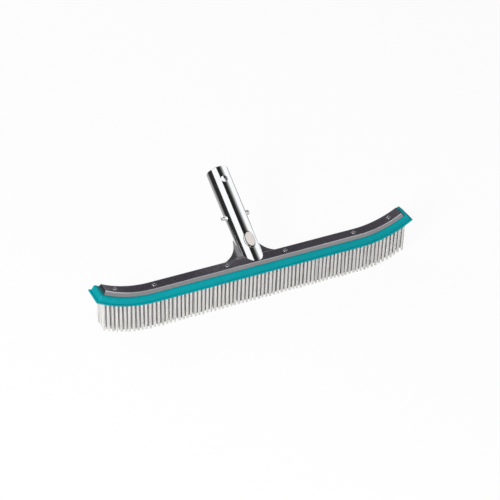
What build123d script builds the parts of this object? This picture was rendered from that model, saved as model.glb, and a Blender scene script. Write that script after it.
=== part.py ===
from build123d import *
import os
from math import asin, cos, degrees, radians, sin, sqrt

# Pool wall brush, in millimetres. X runs along the brush, Y across it with the handle
# leaning back towards +Y, and Z points up. The strand tips of the straight middle stand
# on Z = 0, and the origin is the tip of the middle strand of the middle row.

# Outline of the brush seen from the front: a straight middle with both ends bent up
overall_length = 445.0
straight_half = 145.0
bend_radius = 145.0
strand_length = 42.0

# Cross-section of the moulded block; heights are above the underside of its flange
flange_half_width = 14.5
flange_height = 2.4
flange_edge_chamfer = 0.6
flange_lip = 1.6
block_half_width = 13.0
block_height = 11.2
shoulder_radius = 3.2
end_chamfer = 1.2

# Metal bar let into the top of the block
bar_seat_depth = 1.0
bar_bottom_half_width = 9.3
bar_top_half_width = 7.5
bar_top = 16.3
bar_edge_chamfer = 0.4
bar_end_inset = 7.5
seat_clearance = 0.1

# Screws through the bar into the block, by their distance along the bend from the middle
screw_stations = (-201.0, -141.0, -41.0, 41.0, 141.0, 201.0)
screw_head_radius = 3.1
screw_head_height = 1.2
screw_shank_radius = 1.6
screw_tip_height = 4.0
screw_clearance_radius = 1.8

# Bristles: rows of square strands, each half row fused to its own backing strip
row_count = 5
row_pitch = 5.0
strands_per_row = 77
strand_pitch = 5.58
strand_side = 2.8
strip_height = 3.0
strip_end_inset = 8.5

# Handle tube: its axis crosses the plane of the bar's top behind the bar and leans back
handle_lean = 59.2
handle_foot_y = 22.2
tube_radius = 14.5
tube_wall = 1.7
tube_reach = 115.7
tube_rim_chamfer = 0.6
cross_hole_radius = 4.75
cross_hole_from_end = 18.9
button_from_end = 67.0
plug_from_end = 109.1

# Neck cast on the bar: a round core inside the tube, a web on each side behind the tube's
# widest line, and a root that carries both webs from the bar over the back of the block
core_clearance = 0.05
core_reach = 15.2
core_drop = 40.0
neck_bottom_z = 49.0
neck_gap = 0.2
web_front = -4.7
web_thickness = 3.6
web_tip = (13.7, 17.8)
web_foot = (38.0, -9.1)
web_fillet_radius = 32.2
web_sink = 8.0
root_half_width = 24.0
root_inner_y = 6.0
root_back_y = 10.8
root_meets_web = (19.9, 51.0)
root_toe_y = 16.5

# Spring clip with its two side buttons
button_radius = 3.175
button_hole_radius = 3.25
button_tip_chamfer = 1.0
button_travel = 5.2
clip_strip_width = 8.0
clip_strip_thickness = 1.0
clip_leg_x = 10.0
clip_bend_radius = 8.0
clip_leg_overrun = 5.6

# Oval plug that pins the tube to the core
plug_half_width = 5.8
plug_half_length = 10.2
plug_height = 15.9
plug_rim = 1.7
plug_rim_height = 0.7
plug_shank_radius = 3.5
plug_shank_tip = 3.0
plug_edge_chamfer = 0.4

# Values that follow from the ones above
bend_angle = asin((overall_length / 2 - straight_half) / bend_radius)
half_arc_length = straight_half + bend_radius * bend_angle
seat_height = block_height - bar_seat_depth
bar_top_z = strand_length + bar_top
block_top_z = strand_length + block_height
tube_bore_radius = tube_radius - tube_wall
core_radius = tube_bore_radius - core_clearance
handle_foot = Vector(0, handle_foot_y, bar_top_z)
handle_axis = Vector(0, sin(radians(handle_lean)), cos(radians(handle_lean)))
handle_front = Vector(0, -cos(radians(handle_lean)), sin(radians(handle_lean)))
button_reach = tube_reach - button_from_end
button_tip = tube_radius + button_travel
clip_outer_x = clip_leg_x + clip_strip_thickness / 2
clip_inner_x = clip_leg_x - clip_strip_thickness / 2
clip_leg_start = button_reach - clip_leg_overrun
clip_leg_end = button_reach + clip_leg_overrun
clip_bend_reach = core_reach + clip_strip_thickness / 2 + clip_bend_radius
plug_reach = tube_reach - plug_from_end

# The handle's own planes: square to its axis, and through its axis across the brush, with
# one through the two side buttons. Its axis and the way it faces are also kept as lines.
across_handle = Plane(origin=handle_foot, x_dir=(1, 0, 0), z_dir=handle_axis)
along_handle = Plane(origin=handle_foot, x_dir=(1, 0, 0), z_dir=handle_front)
button_centre = handle_foot + handle_axis * button_reach
across_buttons = Plane(origin=button_centre, x_dir=handle_axis, z_dir=(1, 0, 0))
handle_axis_line = Axis(handle_foot, handle_axis)
handle_front_line = Axis(handle_foot, handle_front)

# Blocks of space taken out of the handle's foot, one for the bar and one for the moulded
# block below it. Each lies below its own top and in front of its own back.
notch_size = (4 * web_foot[0], 4 * tube_radius, 4 * tube_radius)
notch_align = (Align.CENTER, Align.MAX, Align.MAX)
block_back_y = block_half_width + neck_gap


def bend_point(station, height):
    """Point and outward direction at a distance along the bend and a height above it."""
    turn = max(abs(station) - straight_half, 0) / bend_radius
    side = 1 if station > 0 else -1
    x = min(abs(station), straight_half) + (bend_radius - height) * sin(turn)
    z = strand_length + bend_radius - (bend_radius - height) * cos(turn)
    return Vector(side * x, 0, z), Vector(-side * sin(turn), 0, cos(turn))


def underside_height(x):
    """Height of the flange's underside above the strand tips at a distance from the middle."""
    beyond = max(abs(x) - straight_half, 0)
    return strand_length + bend_radius - sqrt(bend_radius**2 - beyond**2)


def bent_path(end_inset):
    """The underside's line from left to right, ending short of the brush's ends by end_inset."""
    arc_degrees = degrees(bend_angle - end_inset / bend_radius)
    centre_height = strand_length + bend_radius
    with BuildLine(Plane.XZ) as path:
        CenterArc((-straight_half, centre_height), bend_radius, -90 - arc_degrees, arc_degrees)
        Line((-straight_half, strand_length), (straight_half, strand_length))
        CenterArc((straight_half, centre_height), bend_radius, -90, arc_degrees)
    return path.wires()[0]


def section_plane(path):
    """Plane square to a path's left end, with X across the brush and Y away from the strands."""
    return Plane(origin=path @ 0, x_dir=(0, 1, 0), z_dir=path % 0)


def screw_plane(station):
    """Plane on the bar's top at a screw, facing out of the bar."""
    point, outward = bend_point(station, bar_top)
    return Plane(origin=point, x_dir=(outward.Z, 0, -outward.X), z_dir=outward)


def finish(piece, name):
    """Labels a finished piece and writes it."""
    piece.label = name
    export_step(piece, f"parts/{name}.step")


os.makedirs("parts", exist_ok=True)

row_places = [(n - (row_count - 1) / 2) * row_pitch for n in range(row_count)]
strand_places = [(n - (strands_per_row - 1) / 2) * strand_pitch for n in range(strands_per_row)]
whole_path = bent_path(0)
inner_path = bent_path(flange_lip)
strip_path = bent_path(strip_end_inset)
bar_path = bent_path(bar_end_inset)
seat_path = bent_path(bar_end_inset - seat_clearance)

# Moulded block: flange, body with rounded shoulders, grooves for the strips, bar seat
with BuildPart() as brush_block:
    with BuildSketch(section_plane(whole_path)) as flange_section:
        with Locations((0, flange_height / 2)):
            Rectangle(2 * flange_half_width, flange_height)
        chamfer(flange_section.vertices(), flange_edge_chamfer)
    sweep(path=whole_path)
    with BuildSketch(section_plane(inner_path)) as body_section:
        with Locations((0, flange_height / 2)):
            Rectangle(
                2 * block_half_width, block_height - flange_height / 2, align=(Align.CENTER, Align.MIN)
            )
        fillet(body_section.vertices().group_by(Axis.Y)[-1], shoulder_radius)
    sweep(path=inner_path)
    for end_face in (brush_block.faces().sort_by(Axis.X)[1], brush_block.faces().sort_by(Axis.X)[-2]):
        chamfer(end_face.edges().sort_by(Axis.Z)[1:], end_chamfer)
    with BuildSketch(section_plane(strip_path)):
        with Locations(*[(y, strip_height / 2) for y in row_places]):
            Rectangle(strand_side, strip_height)
    sweep(path=strip_path, mode=Mode.SUBTRACT)
    with BuildSketch(section_plane(seat_path)):
        with Locations((0, seat_height)):
            Rectangle(
                2 * (bar_bottom_half_width + seat_clearance),
                2 * bar_seat_depth,
                align=(Align.CENTER, Align.MIN),
            )
    sweep(path=seat_path, mode=Mode.SUBTRACT)
    for station in screw_stations:
        with BuildSketch(screw_plane(station)):
            Circle(screw_shank_radius)
        extrude(amount=screw_tip_height - bar_top, mode=Mode.SUBTRACT)
finish(brush_block.part, "brush_block")

# Bar with the neck that carries the handle. The webs are cut open where the tube passes
# between them, and the neck is cut off level below the top of the block, behind it.
with BuildPart() as back_bar:
    with BuildSketch(along_handle.offset(web_front - web_thickness)):
        with BuildLine():
            left_foot = (-web_foot[0], web_foot[1])
            left_side = RadiusArc(left_foot, (-web_tip[0], web_tip[1]), -web_fillet_radius)
            right_side = RadiusArc(web_tip, web_foot, -web_fillet_radius)
            Line(left_side @ 1, right_side @ 0)
            Polyline(
                right_side @ 1,
                (web_foot[0], web_foot[1] - web_sink),
                (-web_foot[0], web_foot[1] - web_sink),
                left_foot,
            )
        make_face()
    extrude(amount=web_thickness)
    with BuildSketch(Plane.YZ.offset(-root_half_width)):
        with BuildLine():
            Polyline(
                (root_inner_y, block_top_z),
                (root_inner_y, bar_top_z),
                (root_back_y, bar_top_z),
                root_meets_web,
                (root_toe_y, neck_bottom_z),
                (block_back_y, neck_bottom_z),
                (block_back_y, block_top_z),
                close=True,
            )
        make_face()
    extrude(amount=2 * root_half_width)
    with BuildSketch(across_handle.offset(-core_drop)):
        Circle(tube_radius)
    extrude(amount=core_drop + web_tip[1], mode=Mode.SUBTRACT)
    with BuildSketch(across_handle.offset(-core_drop)):
        Circle(core_radius)
    extrude(amount=core_drop + core_reach)
    with Locations((0, 0, bar_top_z), (0, block_back_y, block_top_z)):
        Box(*notch_size, align=notch_align, mode=Mode.SUBTRACT)
    split(bisect_by=Plane.XY.offset(neck_bottom_z), keep=Keep.TOP)
    with BuildSketch(section_plane(bar_path)) as bar_section:
        with BuildLine():
            Polyline(
                (-bar_bottom_half_width, seat_height),
                (-bar_bottom_half_width, block_height),
                (-bar_top_half_width, bar_top),
                (bar_top_half_width, bar_top),
                (bar_bottom_half_width, block_height),
                (bar_bottom_half_width, seat_height),
                close=True,
            )
        make_face()
        chamfer(bar_section.vertices().group_by(Axis.Y)[-1], bar_edge_chamfer)
    sweep(path=bar_path)
    for station in screw_stations:
        with BuildSketch(screw_plane(station)):
            Circle(screw_clearance_radius)
        extrude(amount=-bar_top, mode=Mode.SUBTRACT)
    with BuildSketch(along_handle.offset(plug_shank_tip)):
        with Locations((0, plug_reach)):
            Circle(plug_shank_radius)
    extrude(amount=tube_radius, mode=Mode.SUBTRACT)
finish(back_bar.part, "back_bar")

# Handle tube: cut level on top of the bar in front, and level with the neck's underside
# behind the block, with holes for the side buttons, the plug and a cross pin
with BuildPart() as handle_tube:
    with BuildSketch(across_handle.offset(-core_drop)):
        Circle(tube_radius)
    extrude(amount=core_drop + tube_reach)
    chamfer(handle_tube.faces().sort_by(handle_axis_line)[-1].edges(), tube_rim_chamfer)
    with BuildSketch(across_handle.offset(-core_drop)):
        Circle(tube_bore_radius)
    extrude(amount=core_drop + tube_reach, mode=Mode.SUBTRACT)
    with Locations((0, bar_bottom_half_width, bar_top_z), (0, block_back_y, block_top_z)):
        Box(*notch_size, align=notch_align, mode=Mode.SUBTRACT)
    split(bisect_by=Plane.XY.offset(neck_bottom_z), keep=Keep.TOP)
    with BuildSketch(across_buttons):
        Circle(button_hole_radius)
    extrude(amount=tube_radius, both=True, mode=Mode.SUBTRACT)
    with BuildSketch(along_handle):
        with Locations((0, tube_reach - cross_hole_from_end)):
            Circle(cross_hole_radius)
    extrude(amount=tube_radius, both=True, mode=Mode.SUBTRACT)
    with BuildSketch(along_handle):
        with Locations((0, plug_reach)):
            Circle(plug_shank_radius)
    extrude(amount=tube_radius, mode=Mode.SUBTRACT)
finish(handle_tube.part, "handle_tube")

# Oval plug: a rim that hugs the tube, a flat oval top, and a shank into the core
with BuildPart() as retaining_plug:
    with BuildSketch(across_handle):
        Circle(tube_radius + plug_rim_height)
    extrude(amount=tube_reach, both=True)
    with BuildSketch(along_handle):
        with Locations((0, plug_reach)):
            Ellipse(plug_half_width + plug_rim, plug_half_length + plug_rim)
    extrude(amount=plug_height, mode=Mode.INTERSECT)
    with BuildSketch(along_handle):
        with Locations((0, plug_reach)):
            Ellipse(plug_half_width, plug_half_length)
    extrude(amount=plug_height)
    chamfer(retaining_plug.faces().sort_by(handle_front_line)[-1].edges(), plug_edge_chamfer)
    with BuildSketch(across_handle):
        Circle(tube_radius)
    extrude(amount=tube_reach, both=True, mode=Mode.SUBTRACT)
    with BuildSketch(along_handle.offset(plug_shank_tip)):
        with Locations((0, plug_reach)):
            Circle(plug_shank_radius)
    extrude(amount=tube_radius - plug_shank_tip)
finish(retaining_plug.part, "retaining_plug")

# Spring clip: one bent strip inside the tube, which pushes a button out with each leg
with BuildPart() as spring_clip:
    with BuildSketch(along_handle):
        with BuildLine():
            for leg_x in (clip_outer_x, clip_inner_x):
                bend_x = leg_x - clip_leg_x + clip_bend_radius
                bend_start = (-bend_x, clip_bend_reach)
                bend_end = (bend_x, clip_bend_reach)
                Polyline((-leg_x, clip_leg_end), (-leg_x, clip_leg_start), bend_start)
                ThreePointArc(bend_start, (0, clip_bend_reach - bend_x), bend_end)
                Polyline(bend_end, (leg_x, clip_leg_start), (leg_x, clip_leg_end))
            for side in (-1, 1):
                Line((side * clip_outer_x, clip_leg_end), (side * clip_inner_x, clip_leg_end))
        make_face()
    extrude(amount=clip_strip_width / 2, both=True)
finish(spring_clip.part, "spring_clip")

# Side buttons: a chamfered pin on the outside of each leg of the clip, turned about the
# pin's own axis. The leg is wider than the hole in the tube, so it stops the pin.
for side, name in ((-1, "button_left"), (1, "button_right")):
    pin_plane = Plane(origin=button_centre, x_dir=(side, 0, 0), z_dir=handle_front * side)
    with BuildPart() as button:
        with BuildSketch(pin_plane):
            with BuildLine():
                Polyline(
                    (button_tip, 0),
                    (clip_outer_x, 0),
                    (clip_outer_x, button_radius),
                    (button_tip - button_tip_chamfer, button_radius),
                    (button_tip, button_radius - button_tip_chamfer),
                    close=True,
                )
            make_face()
        revolve(axis=Axis(button_centre, pin_plane.x_dir))
    finish(button.part, name)

# Screws: a low round head on the bar's top, and a plain shank through it into the block. On
# the bends the bar's top is hollow along the brush, and a head rests there on its rim.
hollow_radius = bend_radius - bar_top
rim_rise = hollow_radius - sqrt(hollow_radius**2 - screw_head_radius**2)
for number, station in enumerate(screw_stations, start=1):
    head_seat = screw_plane(station).offset(rim_rise if abs(station) > straight_half else 0)
    with BuildPart() as bar_screw:
        with BuildSketch(head_seat):
            Circle(screw_head_radius)
        extrude(amount=screw_head_height)
        with BuildSketch(head_seat):
            Circle(screw_shank_radius)
        extrude(amount=screw_tip_height - bar_top)
    finish(bar_screw.part, f"bar_screw_{number}")

# Bristle rows: each half row is one comb, a strip bent along the block with straight
# strands. All of them are upright, and equally long from the block's underside down.
strip_end = half_arc_length - strip_end_inset
middle_strand = strands_per_row // 2
half_rows = (
    (-1, "left", strand_places[middle_strand + 1 :]),
    (1, "right", strand_places[middle_strand:]),
)
for side, side_name, places in half_rows:
    comb_start = places[0] - strand_pitch / 2
    comb_edge = [(comb_start, strand_length + strip_height), (comb_start, strand_length)]
    for x in places:
        tip_z = underside_height(x) - strand_length
        near_x = x - strand_side / 2
        far_x = x + strand_side / 2
        comb_edge += [(near_x, underside_height(near_x)), (near_x, tip_z)]
        comb_edge += [(far_x, tip_z), (far_x, underside_height(far_x))]
    strip_stations = (strip_end, (strip_end + straight_half) / 2, straight_half)
    strip_top = [bend_point(station, strip_height)[0] for station in strip_stations]
    strip_foot = bend_point(strip_end, 0)[0]
    with BuildSketch() as comb_outline:
        with BuildLine():
            Polyline(*comb_edge, (strip_foot.X, strip_foot.Z), (strip_top[0].X, strip_top[0].Z))
            ThreePointArc(*[(point.X, point.Z) for point in strip_top])
            Line((strip_top[-1].X, strip_top[-1].Z), comb_edge[0])
        make_face()
        if side < 0:
            mirror(about=Plane.YZ, mode=Mode.REPLACE)
    for number, y in enumerate(row_places, start=1):
        with BuildPart() as half_row:
            with BuildSketch(Plane.XZ.offset(-y - strand_side / 2)):
                add(comb_outline.sketch)
            extrude(amount=strand_side)
        finish(half_row.part, f"bristle_row_{number}_{side_name}")
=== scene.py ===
# %% [markdown]
# # Pool wall brush
#
# A brush head for scrubbing the walls of a swimming pool. A teal moulded block holds rows
# of pale nylon tufts, a dark cast bar stiffens its back, and a polished tube takes the end
# of a telescopic pole. The frame that is loaded first has every rigid piece at its real
# size, so this lesson only adds what a frame can't say: how the surfaces are finished, and
# what the bristles look like close up.

# %% Load the frame
import math
import random

import bmesh
import bpy
from mathutils import Matrix, Vector


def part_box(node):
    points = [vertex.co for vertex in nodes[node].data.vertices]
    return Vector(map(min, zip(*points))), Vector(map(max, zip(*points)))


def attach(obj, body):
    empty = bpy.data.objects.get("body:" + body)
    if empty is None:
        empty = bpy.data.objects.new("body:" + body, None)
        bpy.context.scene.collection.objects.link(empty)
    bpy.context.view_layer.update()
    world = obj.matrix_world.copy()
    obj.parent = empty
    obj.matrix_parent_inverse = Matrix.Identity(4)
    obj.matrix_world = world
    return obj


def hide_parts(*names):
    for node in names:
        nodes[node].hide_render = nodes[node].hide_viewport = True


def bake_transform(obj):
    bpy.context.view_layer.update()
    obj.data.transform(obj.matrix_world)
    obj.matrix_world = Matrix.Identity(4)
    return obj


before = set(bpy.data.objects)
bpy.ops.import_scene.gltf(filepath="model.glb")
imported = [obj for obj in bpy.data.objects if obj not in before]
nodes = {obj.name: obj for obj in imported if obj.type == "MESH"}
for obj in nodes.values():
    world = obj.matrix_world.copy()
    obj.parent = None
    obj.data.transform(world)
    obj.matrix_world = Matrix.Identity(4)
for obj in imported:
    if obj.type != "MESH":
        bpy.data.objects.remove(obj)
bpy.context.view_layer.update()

print("pieces in the frame:", len(nodes))

# %% [markdown]
# ## The camera
#
# A product photograph is usually taken with a long lens from a few metres away, so that
# parallel edges stay nearly parallel. The place of this camera was found by matching the
# bent outline of the block, the tips of the bristles and the ends of the tube. It looks
# down on the brush from the front and a little from the left, and it is rolled by two
# degrees.

# %% Camera
picture_side = 500
focal_length_px = 1517.6
sensor_width = 36.0
look_round = math.radians(27.189)
look_down = math.radians(35.546)
roll = math.radians(2.014)
aim = Vector((-0.00961, 0.0, 0.07326))
distance = 1.9174
nearest_seen = 0.01

turn = (
    Matrix.Rotation(-look_round, 4, "Z")
    @ Matrix.Rotation(math.pi / 2 - look_down, 4, "X")
    @ Matrix.Rotation(roll, 4, "Z")
)
camera_data = bpy.data.cameras.new("camera")
camera_data.sensor_width = sensor_width
camera_data.lens = focal_length_px * sensor_width / picture_side
camera_data.clip_start = nearest_seen
camera = bpy.data.objects.new("camera", camera_data)
camera.matrix_world = Matrix.Translation(aim) @ turn @ Matrix.Translation((0, 0, distance))
bpy.context.scene.collection.objects.link(camera)
bpy.context.scene.camera = camera
bpy.context.scene.view_settings.view_transform = "Standard"
print("lens in mm:", round(camera_data.lens, 2))

# %% [markdown]
# ## Shader maths as Python
#
# A material in Blender is a graph of nodes. Written out node by node it is long and hard to
# read, so one small class wraps a socket and lets Python's own operators add the Math nodes:
# `1 - mask` becomes a Subtract node. Every other node comes from one method, `node`.


# %% Shader maths
class Wire:
    """One output of a material's graph. Sums and products of wires add their own nodes."""

    def __init__(self, tree, socket=None):
        self.tree = tree
        self.socket = socket

    def node(self, kind, settings=None, inputs=None, output=0):
        """Adds a node, sets it up, feeds its inputs and returns one of its outputs."""
        added = self.tree.nodes.new(kind)
        for name, value in (settings or {}).items():
            if name == "stops":
                self.set_stops(added.color_ramp, value)
            else:
                setattr(added, name, value)
        for name, value in (inputs or {}).items():
            if isinstance(value, Wire):
                self.tree.links.new(value.socket, added.inputs[name])
            else:
                added.inputs[name].default_value = value
        return Wire(self.tree, added.outputs[output] if added.outputs else None)

    @staticmethod
    def set_stops(ramp, stops):
        """Gives a colour ramp its stops, each a place from 0 to 1 and a grey level or a colour."""
        while len(ramp.elements) < len(stops):
            ramp.elements.new(1.0)
        for element, (place, colour) in zip(ramp.elements, stops):
            element.position = place
            element.color = (colour, colour, colour, 1) if isinstance(colour, float) else (*colour, 1)

    def outputs(self, *names):
        """Several outputs of the node that this wire comes from."""
        return [Wire(self.tree, self.socket.node.outputs[name]) for name in names]

    def maths(self, operation, *others):
        """A Math node with this wire as its first input."""
        return self.node("ShaderNodeMath", {"operation": operation}, dict(enumerate((self, *others))))

    def vector_maths(self, operation, *others, output=0):
        """A Vector Math node with this wire as its first input."""
        inputs = dict(enumerate((self, *others)))
        return self.node("ShaderNodeVectorMath", {"operation": operation}, inputs, output)

    def clamped(self):
        """This wire, held between 0 and 1."""
        return self.node("ShaderNodeClamp", None, {0: self})

    def ramp(self, stops):
        """A colour ramp that this wire runs through."""
        return self.node("ShaderNodeValToRGB", {"stops": stops}, {0: self})

    def __add__(self, other):
        return self.maths("ADD", other)

    def __sub__(self, other):
        return self.maths("SUBTRACT", other)

    def __rsub__(self, other):
        return self.node("ShaderNodeMath", {"operation": "SUBTRACT"}, {0: other, 1: self})

    def __mul__(self, other):
        return self.maths("MULTIPLY", other)

    def __truediv__(self, other):
        return self.maths("DIVIDE", other)

    __radd__ = __add__
    __rmul__ = __mul__


def mix_colours(factor, first, second):
    """A colour between two colours. A Mix node keeps its colour sockets after its number sockets."""
    first, second = [v if isinstance(v, Wire) else (*v, 1) for v in (first, second)]
    return factor.node("ShaderNodeMix", {"data_type": "RGBA"}, {0: factor, 6: first, 7: second}, 2)


def new_material(name):
    """An empty material, with the wire that its graph grows from."""
    material = bpy.data.materials.new(name)
    material.use_nodes = True
    material.node_tree.nodes.clear()
    return material, Wire(material.node_tree)


def new_surface(name):
    """A new material with its Object coordinates, in metres, on which patterns are laid out."""
    material, start = new_material(name)
    return material, start.node("ShaderNodeTexCoord", output="Object")


def finish_surface(material, place, sockets):
    """Ends a surface's graph with one Principled shader."""
    shader = place.node("ShaderNodeBsdfPrincipled", None, sockets)
    place.node("ShaderNodeOutputMaterial", None, {"Surface": shader})
    print("finish", material.name, "with", len(material.node_tree.nodes), "nodes")
    return material


def noise(place, scale, detail=2.0):
    """Soft cloudy noise from 0 to 1, with its scale in blobs a metre."""
    sockets = {"Vector": place, "Scale": scale, "Detail": detail, "Roughness": 0.5}
    return place.node("ShaderNodeTexNoise", None, sockets)


def bumps(height, depth):
    """A normal that follows a height from 0 to 1, with its depth in metres."""
    return height.node("ShaderNodeBump", None, {"Height": height, "Distance": depth, "Strength": 1.0})


# %% [markdown]
# ## The floor and the light
#
# The floor is plain and pale, and nearly white wherever the camera looks straight at it or
# sees it in a polished surface. A Light Path node does that without adding any light to the
# brush, and the floor still shows a soft shadow. Three soft lamps stand round the brush, as
# in a product studio: a strong one at the left, a weak one at the right and one behind.

# %% Floor
floor_side = 12.0
floor_below_tips = 0.0004
floor_white = 0.93
paper_grey = 0.85
bpy.ops.mesh.primitive_plane_add(size=floor_side, location=(0, 0, -floor_below_tips))
floor = bpy.context.object
floor.name = "floor"


def seen_directly(start):
    """1 for what the camera sees straight, in a mirror or through glass, and 0 for light."""
    path = start.node("ShaderNodeLightPath")
    straight, mirrored, through = path.outputs("Is Camera Ray", "Is Glossy Ray", "Is Transmission Ray")
    return (straight + mirrored + through).maths("MINIMUM", 1.0)


floor_material, start = new_material("floor_white")
paper = start.node("ShaderNodeBsdfDiffuse", None, {"Color": (paper_grey, paper_grey, paper_grey, 1)})
glow = start.node("ShaderNodeEmission", None, {"Color": (1, 1, 1, 1), "Strength": 1.0})
mixed = start.node("ShaderNodeMixShader", None, {0: seen_directly(start) * floor_white, 1: paper, 2: glow})
start.node("ShaderNodeOutputMaterial", None, {"Surface": mixed})
floor.data.materials.append(floor_material)
print("floor below the tips in mm:", 1000 * floor_below_tips)

# %% World
world_light = 0.33
world = bpy.data.worlds.new("studio")
world.use_nodes = True
world.node_tree.nodes.clear()
bpy.context.scene.world = world
start = Wire(world.node_tree)
soft = start.node("ShaderNodeBackground", None, {"Color": (1, 1, 1, 1), "Strength": world_light})
white = start.node("ShaderNodeBackground", None, {"Color": (1, 1, 1, 1), "Strength": 1.0})
mixed = start.node("ShaderNodeMixShader", None, {0: seen_directly(start), 1: soft, 2: white})
start.node("ShaderNodeOutputWorld", None, {"Surface": mixed})
print("soft light from all round:", world_light)


# %% Lamps
def soft_lamp(name, place, side, power):
    """A square lamp that faces the middle of the brush, with its side in metres."""
    lamp = bpy.data.lights.new(name, "AREA")
    lamp.size = side
    lamp.energy = power
    holder = bpy.data.objects.new(name, lamp)
    holder.location = place
    holder.rotation_euler = (aim - Vector(place)).to_track_quat("-Z", "Y").to_euler()
    bpy.context.scene.collection.objects.link(holder)
    print(name, "of", power, "W at", place)


soft_lamp("key_lamp", place=(-1.2, -1.15, 0.95), side=0.5, power=31.0)
soft_lamp("fill_lamp", place=(1.5, -1.0, 0.9), side=1.0, power=3.0)
soft_lamp("back_lamp", place=(-1.2, 1.5, 1.2), side=1.0, power=14.0)

# %% [markdown]
# ## Dark cards
#
# A polished tube has no shade of its own: it shows what stands round it. The black bands
# along the tube and the dark top of the bar are reflections of cards that a photographer
# puts round a shiny thing. Each card here is a plane that the camera doesn't see and that
# takes no light away, so it shows in reflections only. Two of its edges run along the tube or
# the bar, which gives straight bands. The direction to a card is the view direction mirrored
# in the surface that should show it, and one more card lies flat on the floor.
#
# The cards need the place of the handle, in metres. The tips of the middle bristles stand
# at height 0 and the block on top of them, and the handle's axis leans back from its foot,
# where it meets the bar's top.

# %% Where the handle stands
strand_length = 0.042
bar_top = 0.0163
mid_handle = 0.058
handle_lean = math.radians(59.2)
handle_axis = Vector((0, math.sin(handle_lean), math.cos(handle_lean)))
handle_foot = Vector((0, 0.0222, strand_length + bar_top))
handle_middle = handle_foot + mid_handle * handle_axis
bar_middle = Vector((0, 0.005, strand_length + bar_top))
lengthwise = Vector((1, 0, 0))
print("handle's axis:", [round(v, 4) for v in handle_axis])


# %% Dark cards
def dark_card(name, seen_from, towards, along, distance, width, length, stops):
    """A card that stands off in one direction, with its tones across its width."""
    across = towards.cross(along).normalized()
    facing = across.cross(along)
    turned = Matrix((across, along, facing)).transposed().to_4x4()
    place = Matrix.Translation(seen_from + distance * towards)
    bpy.ops.mesh.primitive_plane_add(size=1)
    card = bpy.context.object
    card.name = name
    card.matrix_world = place @ turned @ Matrix.Diagonal((width, length, 1, 1))
    material, place = new_surface(name)
    across_card = place.node("ShaderNodeSeparateXYZ", None, {0: place}, "X") + 0.5
    dull = place.node("ShaderNodeEmission", None, {"Color": across_card.ramp(stops), "Strength": 1.0})
    place.node("ShaderNodeOutputMaterial", None, {"Surface": dull})
    card.data.materials.append(material)
    card.visible_camera = False
    card.visible_diffuse = False
    card.visible_shadow = False
    print(name, "is", width, "m by", length, "m")


floor_behind = Vector((0.2, 0.33, 0.002))
dark_card(
    "left_card", handle_middle, towards=Vector((-0.921, 0.373, 0.100)), along=handle_axis,
    distance=0.42, width=0.38, length=0.40, stops=((0.0, 0.03), (1.0, 0.02)),
)
dark_card(
    "top_card", handle_middle, towards=Vector((0.281, -0.072, 0.957)), along=handle_axis,
    distance=1.0, width=1.26, length=0.90,
    stops=((0.0, 0.95), (0.19, 0.50), (0.34, 0.19), (0.52, 0.02), (1.0, 0.015)),
)
dark_card(
    "under_card", handle_middle, towards=Vector((-0.548, 0.724, -0.420)), along=handle_axis,
    distance=0.12, width=0.133, length=0.16,
    stops=((0.0, 0.01), (0.12, 0.05), (0.3, 0.21), (0.55, 0.45), (1.0, 0.45)),
)
dark_card(
    "rear_card", bar_middle, towards=Vector((0.28, 0.80, 0.50)), along=lengthwise,
    distance=1.1, width=1.1, length=1.3,
    stops=((0.0, (0.135, 0.12, 0.155)), (1.0, (0.15, 0.135, 0.17))),
)
dark_card(
    "floor_card", floor_behind, towards=Vector((0, 0, -1)), along=lengthwise,
    distance=0, width=0.34, length=0.5, stops=((0.0, 0.2), (1.0, 0.2)),
)

# %% [markdown]
# ## Materials
#
# Each finish is one function. Patterns are laid out on Object coordinates, in metres, so a
# speck that is 0.3 mm across on the real casting is 0.3 mm across here. The teal block is
# injection moulded: one even colour, with a faint grain that dulls the shine.

# %% Moulded teal plastic
teal_tones = ((0.0005, 0.255, 0.292), (0.001, 0.305, 0.342))
moulded_grain_depth = 0.00002


def teal_plastic():
    material, place = new_surface("teal_moulding")
    clouds = noise(place, scale=22.0, detail=3.0)
    grain = noise(place, scale=2600.0)
    sockets = {
        "Base Color": mix_colours(clouds, *teal_tones),
        "Roughness": 0.36 + 0.12 * clouds,
        "Normal": bumps(grain, moulded_grain_depth),
        "Specular IOR Level": 0.08,
    }
    return finish_surface(material, place, sockets)


# %% [markdown]
# The bar is a casting with a dark satin finish. Its top edges carry a painted highlight, and
# the shader finds them from the same bend as the block's: inside the bend, the height above
# the underside is the bend's radius less the distance to its centre.

# %% Dark casting with a painted highlight on its top edges
straight_half = 0.145
bend_radius = 0.145
bar_half_width = 0.0075
casting_tones = ((0.235, 0.230, 0.242), (0.285, 0.280, 0.292))
# The painted highlight along the top edges: its colour and its width.
edge_highlight_tone = (0.72, 0.72, 0.74)
edge_highlight_width = 0.0009
pit_depth = 0.00002


def dark_casting():
    material, place = new_surface("dark_casting")
    x, y, z = place.node("ShaderNodeSeparateXYZ", None, {0: place}).outputs("X", "Y", "Z")
    beyond = (x.maths("ABSOLUTE") - straight_half).maths("MAXIMUM", 0.0)
    below_centre = strand_length + bend_radius - z
    height = bend_radius - (beyond * beyond + below_centre * below_centre).maths("SQRT")
    near_top = 1 - (height - bar_top).maths("ABSOLUTE") / edge_highlight_width
    near_side = 1 - (y.maths("ABSOLUTE") - bar_half_width).maths("ABSOLUTE") / edge_highlight_width
    pits = noise(place, scale=1500.0, detail=3.0)
    clouds = noise(place, scale=30.0, detail=3.0)
    # Painted highlight: a light metal colour along the top edges, broken up by noise.
    painted_edge_highlight = (near_top.maths("MINIMUM", near_side) * (0.8 + 1.4 * clouds)).clamped()
    sockets = {
        "Base Color": mix_colours(painted_edge_highlight, mix_colours(clouds, *casting_tones), edge_highlight_tone),
        "Metallic": 1.0,
        "Roughness": 0.22 + 0.12 * pits,
        "Normal": bumps(pits, pit_depth),
    }
    return finish_surface(material, place, sockets)


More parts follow.
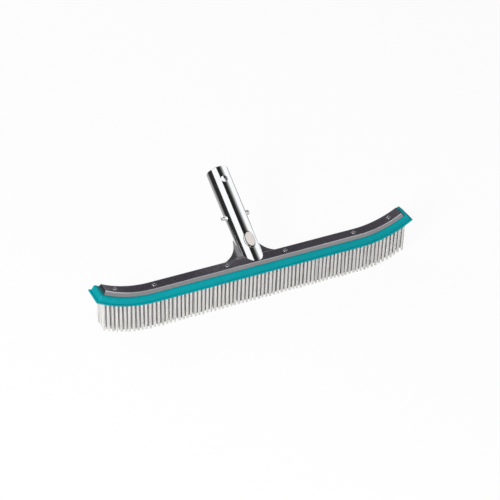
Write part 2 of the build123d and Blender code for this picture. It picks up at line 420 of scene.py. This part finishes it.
# %% [markdown]
# The tube is polished on its outside and a little way into its mouth. Deeper in, the bore
# keeps the dull grey of drawn tube. The shader tells them apart by the distance from the
# tube's axis, which is as long as the cross product of the axis and the way from the foot,
# and by the distance along the axis, which is their dot product.

# %% Polished tube
polished_tone = (0.955, 0.965, 0.975)
drawn_tone = (0.86, 0.87, 0.88)
tube_radius = 0.0145
tube_wall = 0.0017
middle_of_wall = tube_radius - tube_wall / 2
polish_starts = 0.105
polish_fades = 0.006


def polished_metal():
    material, place = new_surface("polished_tube")
    smears = noise(place, scale=60.0, detail=4.0)
    offset = place.vector_maths("SUBTRACT", handle_foot)
    from_axis = offset.vector_maths("CROSS_PRODUCT", handle_axis).vector_maths("LENGTH", output="Value")
    along = offset.vector_maths("DOT_PRODUCT", handle_axis, output="Value")
    deep = ((polish_starts - along) / polish_fades).clamped()
    bore = deep * from_axis.maths("LESS_THAN", middle_of_wall)
    sockets = {
        "Base Color": mix_colours(bore, polished_tone, drawn_tone),
        "Metallic": 1 - 0.45 * bore,
        "Roughness": 0.05 + 0.06 * smears + 0.25 * bore,
    }
    return finish_surface(material, place, sockets)


# %% [markdown]
# The plug is an oval of pale plastic inside a thin polished rim that hugs the tube. Two dark
# lines of painted shade draw its outline: one round the flat top, below its rounded edge,
# and one where the rim ends on the tube. Each line is an oval round the plug's middle. With
# its two axes scaled, such an oval is a circle, so one function serves both.

# %% Pale plastic of the plug
plug_station = 0.0066
plug_middle = handle_foot + plug_station * handle_axis
plug_top = (0.0058, 0.0102)
plug_rim = (0.0075, 0.0119)
plug_tones = ((0.66, 0.61, 0.575), (0.74, 0.69, 0.65))
plug_rim_tone = (0.93, 0.94, 0.95)
# Colour of the painted shade lines round the plug.
painted_shade_tone = (0.03, 0.03, 0.03)
plug_grain_depth = 0.00001
top_line = ((0.0, 0.0), (0.465, 0.0), (0.49, 1.0), (0.515, 1.0), (0.54, 0.0))
rim_line = ((0.0, 0.0), (0.47, 0.0), (0.485, 0.9), (1.0, 0.9))


def oval_distance(place, half_axes):
    """0 at the plug's middle and 0.5 on an oval with the given half axes."""
    offset = place.vector_maths("SUBTRACT", plug_middle)
    across = offset.vector_maths("DOT_PRODUCT", lengthwise, output="Value") * (0.5 / half_axes[0])
    along = offset.vector_maths("DOT_PRODUCT", handle_axis, output="Value") * (0.5 / half_axes[1])
    return (across * across + along * along).maths("SQRT")


def pale_plastic():
    material, place = new_surface("pale_plug")
    clouds = noise(place, scale=150.0, detail=3.0)
    grain = noise(place, scale=3500.0)
    inner = oval_distance(place, plug_top)
    outer = oval_distance(place, plug_rim)
    # Painted shade: two dark ovals, round the flat top and where the rim ends on the tube.
    dark = inner.ramp(top_line).maths("MAXIMUM", outer.ramp(rim_line))
    polished = inner.maths("GREATER_THAN", 0.5)
    surface = mix_colours(polished, mix_colours(clouds, *plug_tones), plug_rim_tone)
    sockets = {
        "Base Color": mix_colours(dark, surface, painted_shade_tone),
        "Metallic": polished,
        "Roughness": 0.42 + 0.1 * clouds - 0.34 * polished,
        "Normal": bumps(grain, plug_grain_depth),
    }
    return finish_surface(material, place, sockets)


# %% [markdown]
# The clip and the buttons are plain bright steel whose shine is a little uneven. The screws
# are plated darker, and the plating is worn in places. The nylon of the bristles differs a
# little in colour from tuft to tuft.

# %% Bright steel of the clip and the buttons
def bright_steel(name, tone):
    material, place = new_surface(name)
    clouds = noise(place, scale=900.0, detail=3.0)
    sockets = {
        "Base Color": (tone, tone, tone * 1.01, 1),
        "Metallic": 1.0,
        "Roughness": 0.22 + 0.14 * clouds,
    }
    return finish_surface(material, place, sockets)


# %% Dark plated steel of the screws
plating_tones = ((0.14, 0.14, 0.15), (0.42, 0.42, 0.43))


def screw_steel():
    material, place = new_surface("screw_metal")
    wear = noise(place, scale=1200.0, detail=3.0)
    sockets = {
        "Base Color": mix_colours(wear, *plating_tones),
        "Metallic": 1.0,
        "Roughness": 0.12 + 0.14 * wear,
    }
    return finish_surface(material, place, sockets)


# %% Nylon of the bristles
nylon_tones = ((0.62, 0.61, 0.595), (0.70, 0.69, 0.675))


def bristle_nylon():
    material, place = new_surface("bristle_nylon")
    clouds = noise(place, scale=400.0)
    sockets = {"Base Color": mix_colours(clouds, *nylon_tones), "Roughness": 0.45, "IOR": 1.5}
    return finish_surface(material, place, sockets)


# %% Dress the frame's own pieces
teal = teal_plastic()
clip_finish = bright_steel("spring_steel", tone=0.55)
button_finish = bright_steel("button_metal", tone=0.72)
screw_finish = screw_steel()
nylon = bristle_nylon()
finishes = {
    "brush_block": teal,
    "back_bar": dark_casting(),
    "handle_tube": polished_metal(),
    "retaining_plug": pale_plastic(),
    "button_left": button_finish,
    "button_right": button_finish,
}
for name, finish in finishes.items():
    nodes[name].data.materials.clear()
    nodes[name].data.materials.append(finish)
print("pieces of the frame that stay:", len(finishes))

# %% [markdown]
# ## The bend of the block
#
# Screws and tufts sit along a line that is straight in the middle and bends up at both ends.
# Two small functions give that line from the sizes of the bend, so that everything added
# here lands exactly on the moulded block.


# %% Places along the bend
def bend_place(station, height):
    """Point and outward direction at a distance along the bend and a height above its underside."""
    turned = max(abs(station) - straight_half, 0) / bend_radius
    side = 1 if station > 0 else -1
    x = min(abs(station), straight_half) + (bend_radius - height) * math.sin(turned)
    z = strand_length + bend_radius - (bend_radius - height) * math.cos(turned)
    return Vector((side * x, 0, z)), Vector((-side * math.sin(turned), 0, math.cos(turned)))


def underside_height(x):
    """Height of the block's underside above the tips of the middle tufts."""
    beyond = max(abs(x) - straight_half, 0)
    return strand_length + bend_radius - math.sqrt(bend_radius**2 - beyond**2)


block_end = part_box("brush_block")[1].x
print("rise of the ends in mm:", round(1000 * (underside_height(block_end) - strand_length), 1))

# %% [markdown]
# ## Helpers for modelling
#
# The new pieces are modelled with Blender's own operators, as by hand. An operator acts on
# all that is selected, and the frame comes in selected, so these helpers clear the
# selection first and then pick one piece, or the faces of it that look one way.

# %% Small helpers for modelling
facing_limit = 0.9
same_point = 1e-6


def deselect():
    """Nothing stays selected, so that the next operator acts on its own piece only."""
    bpy.ops.object.select_all(action="DESELECT")


def pick(piece):
    """Selects one piece alone and makes it the active one."""
    deselect()
    piece.select_set(True)
    bpy.context.view_layer.objects.active = piece


def start_editing(piece):
    """Puts the piece's place, turn and scale into its mesh, and enters edit mode."""
    pick(piece)
    bpy.ops.object.transform_apply(location=True, rotation=True, scale=True)
    bpy.ops.object.mode_set(mode="EDIT")


def choose_faces(piece, way, beyond=-math.inf):
    """In edit mode, selects just the faces that look one way and lie beyond a distance that way."""
    mesh = bmesh.from_edit_mesh(piece.data)
    bpy.ops.mesh.select_mode(type="FACE")
    bpy.ops.mesh.select_all(action="DESELECT")
    for face in mesh.faces:
        looks_that_way = face.normal.dot(way) > facing_limit
        face.select_set(looks_that_way and face.calc_center_median().dot(way) > beyond)
    bmesh.update_edit_mesh(piece.data)


def close_up_mesh():
    """In edit mode, joins doubled points and turns all faces outwards."""
    bpy.ops.mesh.select_all(action="SELECT")
    bpy.ops.mesh.remove_doubles(threshold=same_point)
    bpy.ops.mesh.normals_make_consistent(inside=False)
    bpy.ops.object.mode_set(mode="OBJECT")


def copy_of(piece, name, matrix):
    """A copy with its own mesh, moved by a matrix that goes into the mesh."""
    twin = piece.copy()
    twin.data = piece.data.copy()
    twin.name = name
    bpy.context.scene.collection.objects.link(twin)
    twin.data.transform(matrix)
    return twin


def leaning(x_slope, y_slope, height_scale, root):
    """A matrix that leans an upright piece over, scales its height and moves its root."""
    return Matrix((
        (1, 0, x_slope, root.x),
        (0, 1, y_slope, root.y),
        (0, 0, height_scale, root.z),
        (0, 0, 0, 1),
    ))


def join_all(pieces, name):
    """Joins pieces into the first of them."""
    deselect()
    for piece in pieces:
        piece.select_set(True)
    bpy.context.view_layer.objects.active = pieces[0]
    bpy.ops.object.join()
    pieces[0].name = name
    return pieces[0]


# %% [markdown]
# ## One tuft
#
# A tuft is a bundle of nylon filaments, folded in two and punched into the block. Close up
# the filaments stand apart at their tips and are not all cut to the same length. From a
# metre away a tuft reads as one soft stripe, and there are hundreds of them, so a filament
# is only a prism of three sides. One filament is modelled, then copied round a spiral, with
# each copy leaning outwards a little, and that bundle is made in a few variants.

# %% One filament
filament_radius = 0.00042
bpy.ops.mesh.primitive_cylinder_add(
    vertices=3, radius=filament_radius, depth=strand_length, end_fill_type="NOTHING"
)
filament = bpy.context.object
filament.name = "filament"
bpy.ops.object.mode_set(mode="EDIT")
bpy.ops.mesh.select_all(action="SELECT")
bpy.ops.transform.translate(value=(0, 0, -strand_length / 2))
bpy.ops.mesh.select_mode(type="EDGE")
edit_mesh = bmesh.from_edit_mesh(filament.data)
bpy.ops.mesh.select_all(action="DESELECT")
for edge in edit_mesh.edges:
    edge.select_set(all(vertex.co.z < -strand_length / 2 for vertex in edge.verts))
bmesh.update_edit_mesh(filament.data)
bpy.ops.mesh.edge_face_add()
bpy.ops.object.mode_set(mode="OBJECT")
print("faces of one filament:", len(filament.data.polygons))

# %% A few tufts
filaments_in_tuft = 14
tuft_radius = 0.00118
spiral_step = math.radians(137.5)
spiral_scatter = 0.2
tip_spread = 1.2
tip_scatter = 0.00008
tip_lengths = (0.975, 1.0)
tuft_variants = 5
chance = random.Random(7)


def make_tuft(number):
    """A bundle of filaments whose root is at the origin, with its tips straight below."""
    bundle = []
    for n in range(filaments_in_tuft):
        reach = tuft_radius * math.sqrt((n + 0.5) / filaments_in_tuft)
        turned = n * spiral_step + chance.uniform(-spiral_scatter, spiral_scatter)
        root = Vector((reach * math.cos(turned), reach * math.sin(turned), 0))
        scatter = Vector((chance.gauss(0, 1), chance.gauss(0, 1), 0)) * tip_scatter
        slope = -(root * (tip_spread - 1) + scatter) / strand_length
        place = leaning(slope.x, slope.y, chance.uniform(*tip_lengths), root)
        bundle.append(copy_of(filament, "filament_copy", place @ Matrix.Rotation(turned, 4, "Z")))
    return join_all(bundle, f"tuft_{number}")


tufts = [make_tuft(number) for number in range(tuft_variants)]
print("faces of one tuft:", len(tufts[0].data.polygons))

# %% [markdown]
# ## Rows of tufts
#
# The frame has one square strand for each tuft, in five rows that are halved in the middle.
# Each half row takes its place from its solid: the columns that lie within the solid's box,
# and the middle of its thickness. No two neighbouring tufts are alike, because each copy is
# a variant drawn by chance, turned by another angle and leaning another way.

# %% Rows of tufts
column_pitch = 0.00558
columns_each_side = 38
lean_most = math.radians(0.5)


def row_place(node_name):
    """How far behind the middle a row stands: the middle of its solid's thickness."""
    low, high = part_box(node_name)
    return (low.y + high.y) / 2


def tuft_row(node_name):
    """All tufts of one half row, joined, in place of the frame's solid."""
    low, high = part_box(node_name)
    y = row_place(node_name)
    row = []
    for column in range(-columns_each_side, columns_each_side + 1):
        x = column * column_pitch
        if not low.x < x < high.x:
            continue
        root = Vector((x, y, underside_height(x)))
        lean = Vector((chance.uniform(-1, 1), chance.uniform(-1, 1))) * math.tan(lean_most)
        turned = Matrix.Rotation(chance.uniform(0, 2 * math.pi), 4, "Z")
        place = leaning(-lean.x, -lean.y, 1, root)
        row.append(copy_of(chance.choice(tufts), "tuft_copy", place @ turned))
    piece = join_all(row, node_name.replace("bristle_row", "tufts"))
    piece.data.materials.clear()
    piece.data.materials.append(nylon)
    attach(piece, "brush")
    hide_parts(node_name)
    return piece


row_names = sorted(name for name in nodes if name.startswith("bristle_row"))
tuft_rows = [tuft_row(name) for name in row_names]
for spare in [filament, *tufts]:
    bpy.data.objects.remove(spare, do_unlink=True)
print("half rows:", len(tuft_rows), "faces in the first:", len(tuft_rows[0].data.polygons))

# %% [markdown]
# ## Strips between the tufts
#
# In the frame the strands of a row hang from a strip in a groove of the block. With tufts in
# their place the groove would stay open, and the real block is closed there, so a strip of
# the same plastic fills it. It is a long cuboid whose two end faces are spun up the bend.

# %% One strip
strip_width = 0.0028
strip_height = 0.003
strip_end_inset = 0.0085
strip_steps = 14
strip_arc = math.asin((block_end - straight_half) / bend_radius) - strip_end_inset / bend_radius
bpy.ops.mesh.primitive_cube_add(size=1, location=(0, 0, strand_length + strip_height / 2))
strip = bpy.context.object
strip.scale = (2 * straight_half, strip_width, strip_height)
start_editing(strip)
for side in (1, -1):
    choose_faces(strip, side * lengthwise, beyond=straight_half / 2)
    bpy.ops.mesh.spin(
        steps=strip_steps,
        angle=side * strip_arc,
        center=(side * straight_half, 0, strand_length + bend_radius),
        axis=(0, 1, 0),
    )
close_up_mesh()
strip.data.materials.append(teal)
print("faces of one strip:", len(strip.data.polygons))

# %% A strip for every row
row_places = sorted({round(row_place(name), 5) for name in row_names})
for number, y in enumerate(row_places, start=1):
    piece = copy_of(strip, f"strip_{number}", Matrix.Translation((0, y, 0)))
    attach(piece, "brush")
bpy.data.objects.remove(strip, do_unlink=True)
print("strips at y in mm:", [round(1000 * y, 1) for y in row_places])

# %% [markdown]
# ## Screws
#
# The bar is held to the block by six pan-head screws with a square recess. The head is a
# short cylinder whose upper edge is rounded by a bevel, and the shank is drawn out of its
# underside. A boolean with a tapered block cuts the recess, so that its sides lean inwards.
# One screw is modelled upright at the origin, and copied to the six places along the bend.

# %% One screw
head_radius = 0.0031
head_height = 0.0012
head_rounding = 0.0009
shank_radius = 0.0016
shank_length = 0.0123
smooth_below = math.radians(35)
upwards = Vector((0, 0, 1))
deselect()
bpy.ops.mesh.primitive_cylinder_add(
    vertices=40, radius=head_radius, depth=head_height, location=(0, 0, head_height / 2)
)
screw = bpy.context.object
start_editing(screw)
choose_faces(screw, upwards)
bpy.ops.mesh.bevel(offset=head_rounding, segments=4, affect="EDGES", profile=0.5)
choose_faces(screw, -upwards)
bpy.ops.mesh.inset(thickness=head_radius - shank_radius, depth=0)
bpy.ops.mesh.extrude_region_move(TRANSFORM_OT_translate={"value": (0, 0, -shank_length)})
bpy.ops.object.mode_set(mode="OBJECT")
print("faces before the recess:", len(screw.data.polygons))

# %% The square recess
recess_depth = 0.0008
cutter_width = 0.0036
cutter_above_head = 0.000375
cutter_taper = 0.55
cutter_height = cutter_above_head + recess_depth
cutter_middle = head_height + cutter_above_head - cutter_height / 2
deselect()
bpy.ops.mesh.primitive_cube_add(size=1, location=(0, 0, cutter_middle))
cutter = bpy.context.object
cutter.scale = (cutter_width, cutter_width, cutter_height)
start_editing(cutter)
choose_faces(cutter, -upwards)
bpy.ops.transform.resize(value=(cutter_taper, cutter_taper, 1), center_override=(0, 0, 0))
bpy.ops.object.mode_set(mode="OBJECT")
cut = screw.modifiers.new("recess", "BOOLEAN")
cut.operation = "DIFFERENCE"
cut.object = cutter
pick(screw)
bpy.ops.object.modifier_apply(modifier="recess")
bpy.data.objects.remove(cutter, do_unlink=True)
bpy.ops.object.shade_smooth_by_angle(angle=smooth_below)
screw.data.materials.append(screw_finish)
print("faces of one screw:", len(screw.data.polygons))

# %% Six screws
screw_stations = (-0.201, -0.141, -0.041, 0.041, 0.141, 0.201)
for number, station in enumerate(screw_stations, start=1):
    point, outward = bend_place(station, bar_top)
    upright = outward.to_track_quat("Z", "Y").to_matrix().to_4x4()
    quarter = Matrix.Rotation(chance.uniform(0, math.pi / 2), 4, "Z")
    piece = copy_of(screw, f"screw_{number}", Matrix.Translation(point) @ upright @ quarter)
    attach(piece, "brush")
    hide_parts(f"bar_screw_{number}")
    print(piece.name, "at x", round(1000 * point.x, 1), "z", round(1000 * point.z, 1))
bpy.data.objects.remove(screw, do_unlink=True)

# %% [markdown]
# ## The spring clip
#
# Inside the tube a bent strip of spring steel pushes the two side buttons out. When a button
# is pressed its leg bends inwards, which a solid can't show. Here the strip is made as two
# halves that meet at the bottom of the bend, one the mirror image of the other, which take
# the place of the frame's clip.

# %% Half of the clip
clip_width = 0.008
clip_thickness = 0.001
clip_edge = 0.0002
clip_edge_angle = math.radians(60)
clip_bend = 0.008
clip_leg_x = 0.010
bend_bottom = 0.0157
button_reach = 0.0487
leg_overrun = 0.0056
top_of_bend = bend_bottom + clip_bend
leg_start = button_reach - leg_overrun
leg_shift = clip_leg_x - clip_bend
leg_rise = leg_start - top_of_bend
deselect()
bpy.ops.mesh.primitive_plane_add(size=1, location=(0, 0, bend_bottom), rotation=(0, math.pi / 2, 0))
clip_half = bpy.context.object
clip_half.scale = (clip_thickness, clip_width, 1)
start_editing(clip_half)
bpy.ops.mesh.select_all(action="SELECT")
bpy.ops.mesh.spin(steps=12, angle=math.pi / 2, center=(0, 0, top_of_bend), axis=(0, 1, 0))
leaning_step = (leg_shift / 2, leg_rise / 2)
upright_step = (0, leg_overrun)
for shift, rise in (leaning_step, leaning_step, upright_step, upright_step):
    bpy.ops.mesh.extrude_region_move(TRANSFORM_OT_translate={"value": (shift, 0, rise)})
close_up_mesh()
edges = clip_half.modifiers.new("edges", "BEVEL")
edges.width = clip_edge
edges.segments = 2
edges.angle_limit = clip_edge_angle
pick(clip_half)
bpy.ops.object.modifier_apply(modifier="edges")
bpy.ops.object.shade_smooth_by_angle(angle=smooth_below)
clip_half.data.materials.append(clip_finish)
print("half clip spans x in mm:", round(1000 * max(v.co.x for v in clip_half.data.vertices), 2))

# %% Both halves
handle_frame = Matrix.Translation(handle_foot) @ Matrix.Rotation(-handle_lean, 4, "X")
for side, name in ((-1, "left"), (1, "right")):
    half = copy_of(clip_half, f"clip_{name}", handle_frame @ Matrix.Diagonal((side, 1, 1, 1)))
    if side < 0:
        half.data.flip_normals()
    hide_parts("spring_clip")
    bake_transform(half)
bpy.data.objects.remove(clip_half, do_unlink=True)
